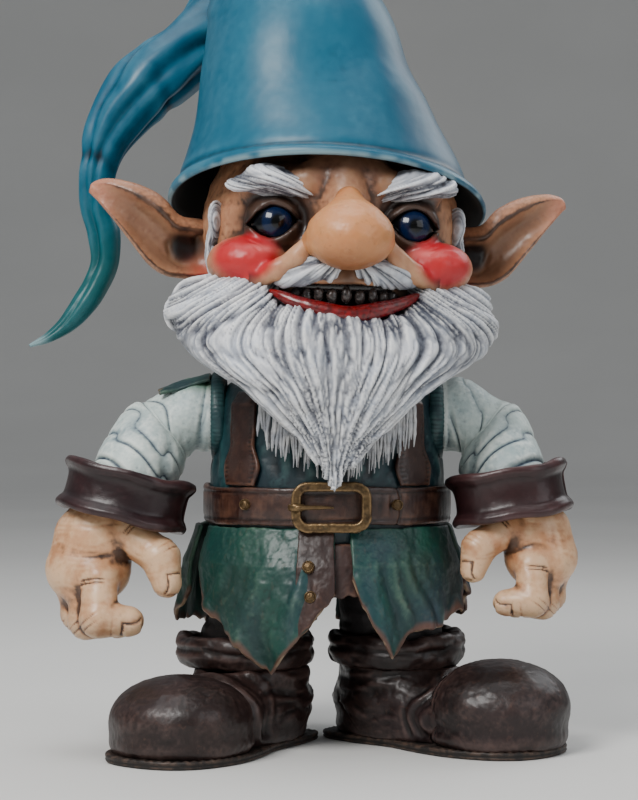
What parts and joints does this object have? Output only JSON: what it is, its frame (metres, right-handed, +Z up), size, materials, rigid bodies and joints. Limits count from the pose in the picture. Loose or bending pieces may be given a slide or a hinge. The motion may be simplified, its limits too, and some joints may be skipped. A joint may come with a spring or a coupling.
{
  "type": "garden gnome",
  "caption": "Standing bearded garden gnome figure with a lift-off floppy pointed hat, turning head, swinging arms, belted coat and bulbous boots.",
  "frame": {"origin": "on the ground under the middle of the whole figure's bounding box, soles at z = 0", "axes": "+Z up; the gnome faces -Y and its own left hand is at +X"},
  "size_m": [0.3622, 0.253, 0.5776],
  "materials": {
    "skin": "hand-painted tan skin with brown wash in the wrinkles",
    "beard": "sculpted white hair with blue-grey wash in the grooves",
    "yarn": "loose off-white yarn",
    "hat": "satin teal paint with pale brushed streaks",
    "lining": "black foam",
    "vest": "dark teal paint",
    "coat": "green-teal paint, worn pale along the hems",
    "fly": "near-black paint",
    "shirt": "pale mint paint with blue-grey shaded folds",
    "leather": "brown paint with sculpted leather grain",
    "cuff": "purple-brown paint with worn highlights",
    "boot": "dark brown polished paint",
    "sole": "worn dark welt",
    "trousers": "dark brown paint",
    "brass": "aged",
    "eye": "near-black glossy",
    "lip": "red gloss paint",
    "teeth": "dark stained",
    "steel": "plain"
  },
  "bodies": {
    "body": {"belt": "leather", "belt_buckle": "brass", "belt_stud_left": "brass", "belt_stud_right": "brass", "boot_cuff_left": "boot", "boot_cuff_right": "boot", "boot_sole_left": "sole", "boot_sole_right": "sole", "boot_toe_left": "boot", "boot_toe_right": "boot", "boot_upper_left": "boot", "boot_upper_right": "boot", "brace_left": "leather", "brace_right": "leather", "buckle_prong": "brass", "button_lower": "brass", "button_upper": "brass", "centre_flap": "fly", "coat_tail_back_left": "coat", "coat_tail_back_right": "coat", "coat_tail_front_left": "coat", "coat_tail_front_right": "coat", "neck_post": "steel", "neck_washer": "steel", "shoulder_peg_left": "steel", "shoulder_peg_right": "steel", "torso": "vest", "trouser_leg_left": "trousers", "trouser_leg_right": "trousers", "trouser_seat": "trousers"},
    "head": {"head_casting": "skin", "nose": "skin", "ear_left": "skin", "ear_right": "skin", "beard": "beard", "eyebrow_left": "beard", "eyebrow_right": "beard", "moustache_left": "beard", "moustache_right": "beard", "yarn_fringe": "yarn", "eye_left": "eye", "eye_right": "eye", "lower_lip": "lip", "teeth": "teeth"},
    "hat": {"hat_crown": "hat", "hat_tail": "hat", "hat_headband": "lining"},
    "right_arm": {"sleeve_right": "shirt", "cuff_right": "cuff", "hand_right": "skin", "shoulder_cape": "coat"},
    "left_arm": {"sleeve_left": "shirt", "cuff_left": "cuff", "hand_left": "skin"}
  },
  "joints": [
    {"name": "head_turn", "type": "hinge", "parent": "body", "child": "head", "pos_m": [0.02043, 0.01948, 0.248], "axis": [0, 0, 1], "range_deg": [-20, 20]},
    {"name": "hat_lift", "type": "slide", "parent": "head", "child": "hat", "axis": [0, 0, 1], "range_m": [0, 0.14]},
    {"name": "right_arm_swing", "type": "hinge", "parent": "body", "child": "right_arm", "pos_m": [-0.05507, 0.01948, 0.2145], "axis": [-1, 0, 0], "range_deg": [-5, 30]},
    {"name": "left_arm_swing", "type": "hinge", "parent": "body", "child": "left_arm", "pos_m": [0.09593, 0.01948, 0.2145], "axis": [-1, 0, 0], "range_deg": [-3, 30]}
  ]
}
